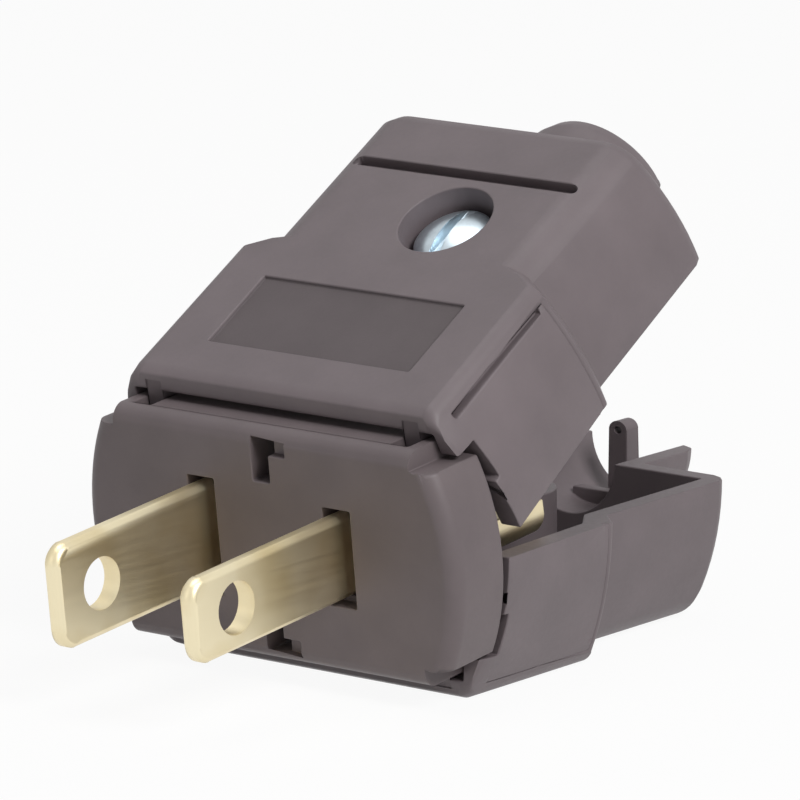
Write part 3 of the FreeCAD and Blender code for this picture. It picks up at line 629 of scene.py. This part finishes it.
class HingedPlugBlades(bpy.types.PropertyGroup):
    colour: bpy.props.StringProperty(
        name="Brass colour", description="sRGB hex of clean brass", default="#F2E6C4")
    tarnish: bpy.props.StringProperty(
        name="Tarnish colour", description="sRGB hex of the dulled patches", default="#DCC99A")
    roughness: bpy.props.FloatProperty(
        name="Roughness", description="Mean roughness of the strip", default=0.4, min=0.1, max=0.8,
        subtype="FACTOR")
    edge: bpy.props.FloatProperty(
        name="Edge radius", description="Broken edge of the strip, in millimetres", default=0.14,
        min=0.02, max=0.4)


class HingedPlugScrews(bpy.types.PropertyGroup):
    colour: bpy.props.StringProperty(
        name="Zinc colour", description="sRGB hex of the plating", default="#D3E0E8")
    roughness: bpy.props.FloatProperty(
        name="Roughness", description="Mean roughness of the plating", default=0.3, min=0.1, max=0.8,
        subtype="FACTOR")
    pitch: bpy.props.FloatProperty(
        name="Thread pitch", description="Thread pitch, in millimetres", default=0.7, min=0.3, max=1.5)
    dome: bpy.props.FloatProperty(
        name="Dome height", description="Rise of the closing screw's dome, in millimetres",
        default=1.0, min=0.2, max=2.0)
    insert_colour: bpy.props.StringProperty(
        name="Insert colour", description="sRGB hex of the insert's clean brass", default="#CDB379")
    insert_tarnish: bpy.props.StringProperty(
        name="Insert tarnish", description="sRGB hex of the insert's dulled patches", default="#B3945A")


class HingedPlugStage(bpy.types.PropertyGroup):
    floor_colour: bpy.props.StringProperty(
        name="Floor colour", description="sRGB hex of the floor", default="#F4F4F3")
    focal: bpy.props.FloatProperty(
        name="Focal length", description="Camera's focal length, in millimetres", default=348.2,
        min=20.0, max=800.0, unit="CAMERA")


# Operators

class HINGEDPLUG_OT_mouldings(bpy.types.Operator):
    """Finish the two jaws and the face block as moulded thermoplastic"""
    bl_idname = "hingedplug.mouldings"
    bl_label = "Finish mouldings"

    def execute(self, context):
        look = context.scene.hinged_plug_mouldings
        jaws = moulded_thermoplastic("MouldedThermoplasticJaws", look.jaw_colour, look.roughness,
                                     look.grain)
        block = moulded_thermoplastic("MouldedThermoplasticBlock", look.block_colour, look.roughness,
                                      look.grain)
        # The plate recess's floor is matter, from a mould texture half as coarse
        recess = moulded_thermoplastic("MouldedThermoplasticRecess", look.recess_colour,
                                       look.recess_roughness, look.grain / 2)
        upper = softened_copy("upper_jaw", "upper_jaw_moulding", look.edge, "upper_jaw", jaws,
                              place=UPPER_PLACE, fit=fit_upper,
                              fillers=groove_fillers(UPPER_PLACE, True),
                              envelope=jaw_envelope(UPPER_PLACE, look.upper_round))
        finish_plate(upper, recess)
        softened_copy("lower_jaw", "lower_jaw_moulding", look.edge, "lower_jaw", jaws,
                      place=FLIPPED, fit=fit_lower, fillers=groove_fillers(FLIPPED, False),
                      envelope=jaw_envelope(FLIPPED, look.lower_round))
        softened_copy("face_block", "face_block_moulding", look.edge, "block", block)
        return {"FINISHED"}


class HINGEDPLUG_OT_blades(bpy.types.Operator):
    """Finish both blades as rolled brass strip"""
    bl_idname = "hingedplug.blades"
    bl_label = "Finish blades"

    def execute(self, context):
        look = context.scene.hinged_plug_blades
        brass = rolled_brass("RolledBrass", look.colour, look.tarnish, look.roughness)
        for node in ("neutral_blade", "line_blade"):
            softened_copy(node, node + "_strip", look.edge, "block", brass)
        return {"FINISHED"}


# Each screw's head as radius and side height and its shank as radius and length, in millimetres
CLOSING_HEAD, CLOSING_SHANK = (3.1, 1.3), (1.7, 7.85)
TERMINAL_HEAD, TERMINAL_DOME, TERMINAL_SHANK = (2.75, 1.2), 0.5, (1.75, 5.0)
# The insert is turned, so it is glossier than the strip
INSERT_ROUGHNESS = 0.3


class HINGEDPLUG_OT_screws(bpy.types.Operator):
    """Finish the screws and the insert"""
    bl_idname = "hingedplug.screws"
    bl_label = "Finish screws"

    def execute(self, context):
        look = context.scene.hinged_plug_screws
        zinc = zinc_plated_steel("ZincPlatedSteel", look.colour, look.roughness)
        tree = thread_tree()
        seat = UPPER_PLACE @ Matrix.Translation((SCREW_X, SCREW_Y, SCREW_SEAT))
        slotted_screw("closing_screw", "closing_screw_detail", "closing_screw", seat, tree,
                      CLOSING_HEAD + (look.dome,), CLOSING_SHANK, look.pitch, zinc)
        for side, sign in (("neutral", -1), ("line", 1)):
            node = side + "_terminal_screw"
            seat = BLOCK_PLACE @ Matrix.Translation((TERMINAL_X * sign, TERMINAL_Y, 0.0))
            slotted_screw(node, node + "_detail", node, seat, tree, TERMINAL_HEAD + (TERMINAL_DOME,),
                          TERMINAL_SHANK, look.pitch, zinc)
        insert = rolled_brass("TurnedBrass", look.insert_colour, look.insert_tarnish, INSERT_ROUGHNESS)
        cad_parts["closing_insert"].material_slots[0].material = insert
        return {"FINISHED"}


# The stage, in metres and watts

FLOOR_HALF = 1.5
# The share of the floor seen as white; the rest is lit board that shows the object's shadow
FLOOR_WHITE = 0.93
# The world's strength as light on the object, and as background
WORLD_LIGHT, WORLD_SEEN = 0.12, 1.0
# Each lamp: name, place, width and power; all point at the middle of the object
LAMPS = (("key", (0.62, -0.16, 0.52), 0.3, 4.5), ("top", (-0.1, -0.05, 0.8), 0.5, 1.75),
         ("fill", (-0.3, -0.7, 0.3), 0.5, 0.36))
LAMP_TARGET = (0, 0, 0.015)
# The camera's place in millimetres and its turns in degrees
CAMERA_PLACE, CAMERA_TURNS = (353.96, -444.39, 137.35), (78.055, 0.538, 39.071)


def seen_directly(tree):
    """1 for a ray from the camera, a reflection or a clear part, and 0 for light on the object."""
    path = add(tree, "ShaderNodeLightPath").outputs
    seen = add(tree, MATH, {0: path["Is Camera Ray"], 1: path["Is Glossy Ray"]}, operation="MAXIMUM")
    return add(tree, MATH, {0: seen, 1: path["Is Transmission Ray"]}, operation="MAXIMUM")


class HINGEDPLUG_OT_stage(bpy.types.Operator):
    """Set the floor, the studio light and the camera"""
    bl_idname = "hingedplug.stage"
    bl_label = "Set the stage"

    def execute(self, context):
        look = context.scene.hinged_plug_stage
        scene = context.scene
        scene.view_settings.view_transform = "Standard"

        work = bmesh.new()
        for across, along in ((-1, -1), (1, -1), (1, 1), (-1, 1)):
            work.verts.new((across * FLOOR_HALF, along * FLOOR_HALF, 0.0))
        work.faces.new(work.verts)
        floor = piece_from(work, "floor")
        # White painted board: matt, and white where the camera or a reflection sees it
        material, tree = new_material("PaintedBoardFloor")
        board = add(tree, "ShaderNodeBsdfDiffuse", Color=linear(look.floor_colour))
        white = add(tree, "ShaderNodeEmission", Strength=1.0)
        share = add(tree, MATH, {0: seen_directly(tree), 1: FLOOR_WHITE}, operation="MULTIPLY")
        mix = add(tree, "ShaderNodeMixShader", {0: share, 1: board, 2: white})
        add(tree, "ShaderNodeOutputMaterial", {"Surface": mix})
        floor.data.materials.append(material)

        world = bpy.data.worlds.new("Studio")
        world.use_nodes = True
        scene.world = world
        tree = world.node_tree
        tree.nodes.clear()
        level = add(tree, "ShaderNodeMapRange", {"Value": seen_directly(tree)},
                    To_Min=WORLD_LIGHT, To_Max=WORLD_SEEN)
        sky = add(tree, "ShaderNodeBackground", {"Strength": level})
        add(tree, "ShaderNodeOutputWorld", {"Surface": sky})

        for name, place, width, watts in LAMPS:
            light = bpy.data.lights.new(name, "AREA")
            light.energy = watts
            light.size = width
            lamp = new_piece(name, light)
            lamp.location = place
            aim = Vector(LAMP_TARGET) - Vector(place)
            lamp.rotation_euler = aim.to_track_quat("-Z", "Y").to_euler()

        data = bpy.data.cameras.new("camera")
        data.lens = look.focal
        data.sensor_width = 36.0
        data.clip_end = 10.0
        camera = new_piece("camera", data)
        camera.location = Vector(CAMERA_PLACE) * MM
        camera.rotation_euler = [math.radians(turn) for turn in CAMERA_TURNS]
        scene.camera = camera
        return {"FINISHED"}


class HINGEDPLUG_PT_panel(bpy.types.Panel):
    """Sidebar panel with the plug's operators and their settings"""
    bl_label = "Hinged Plug"
    bl_idname = "HINGEDPLUG_PT_panel"
    bl_space_type = "VIEW_3D"
    bl_region_type = "UI"
    bl_category = "Hinged Plug"

    def draw(self, context):
        for operator, group in STEPS:
            box = self.layout.box()
            settings = getattr(context.scene, group)
            for name in type(settings).__annotations__:
                box.prop(settings, name)
            box.operator(operator)


STEPS = (("hingedplug.mouldings", "hinged_plug_mouldings"), ("hingedplug.blades", "hinged_plug_blades"),
         ("hingedplug.screws", "hinged_plug_screws"), ("hingedplug.stage", "hinged_plug_stage"))
GROUPS = {"hinged_plug_mouldings": HingedPlugMouldings, "hinged_plug_blades": HingedPlugBlades,
          "hinged_plug_screws": HingedPlugScrews, "hinged_plug_stage": HingedPlugStage}
CLASSES = tuple(GROUPS.values()) + (HINGEDPLUG_OT_mouldings, HINGEDPLUG_OT_blades, HINGEDPLUG_OT_screws,
                                    HINGEDPLUG_OT_stage, HINGEDPLUG_PT_panel)


def register():
    for cls in CLASSES:
        bpy.utils.register_class(cls)
    for name, group in GROUPS.items():
        setattr(bpy.types.Scene, name, bpy.props.PointerProperty(type=group))


def unregister():
    for name in GROUPS:
        delattr(bpy.types.Scene, name)
    for cls in reversed(CLASSES):
        bpy.utils.unregister_class(cls)


def main():
    register()
    bpy.ops.hingedplug.mouldings()
    bpy.ops.hingedplug.blades()
    bpy.ops.hingedplug.screws()
    bpy.ops.hingedplug.stage()


if __name__ == "__main__":
    main()
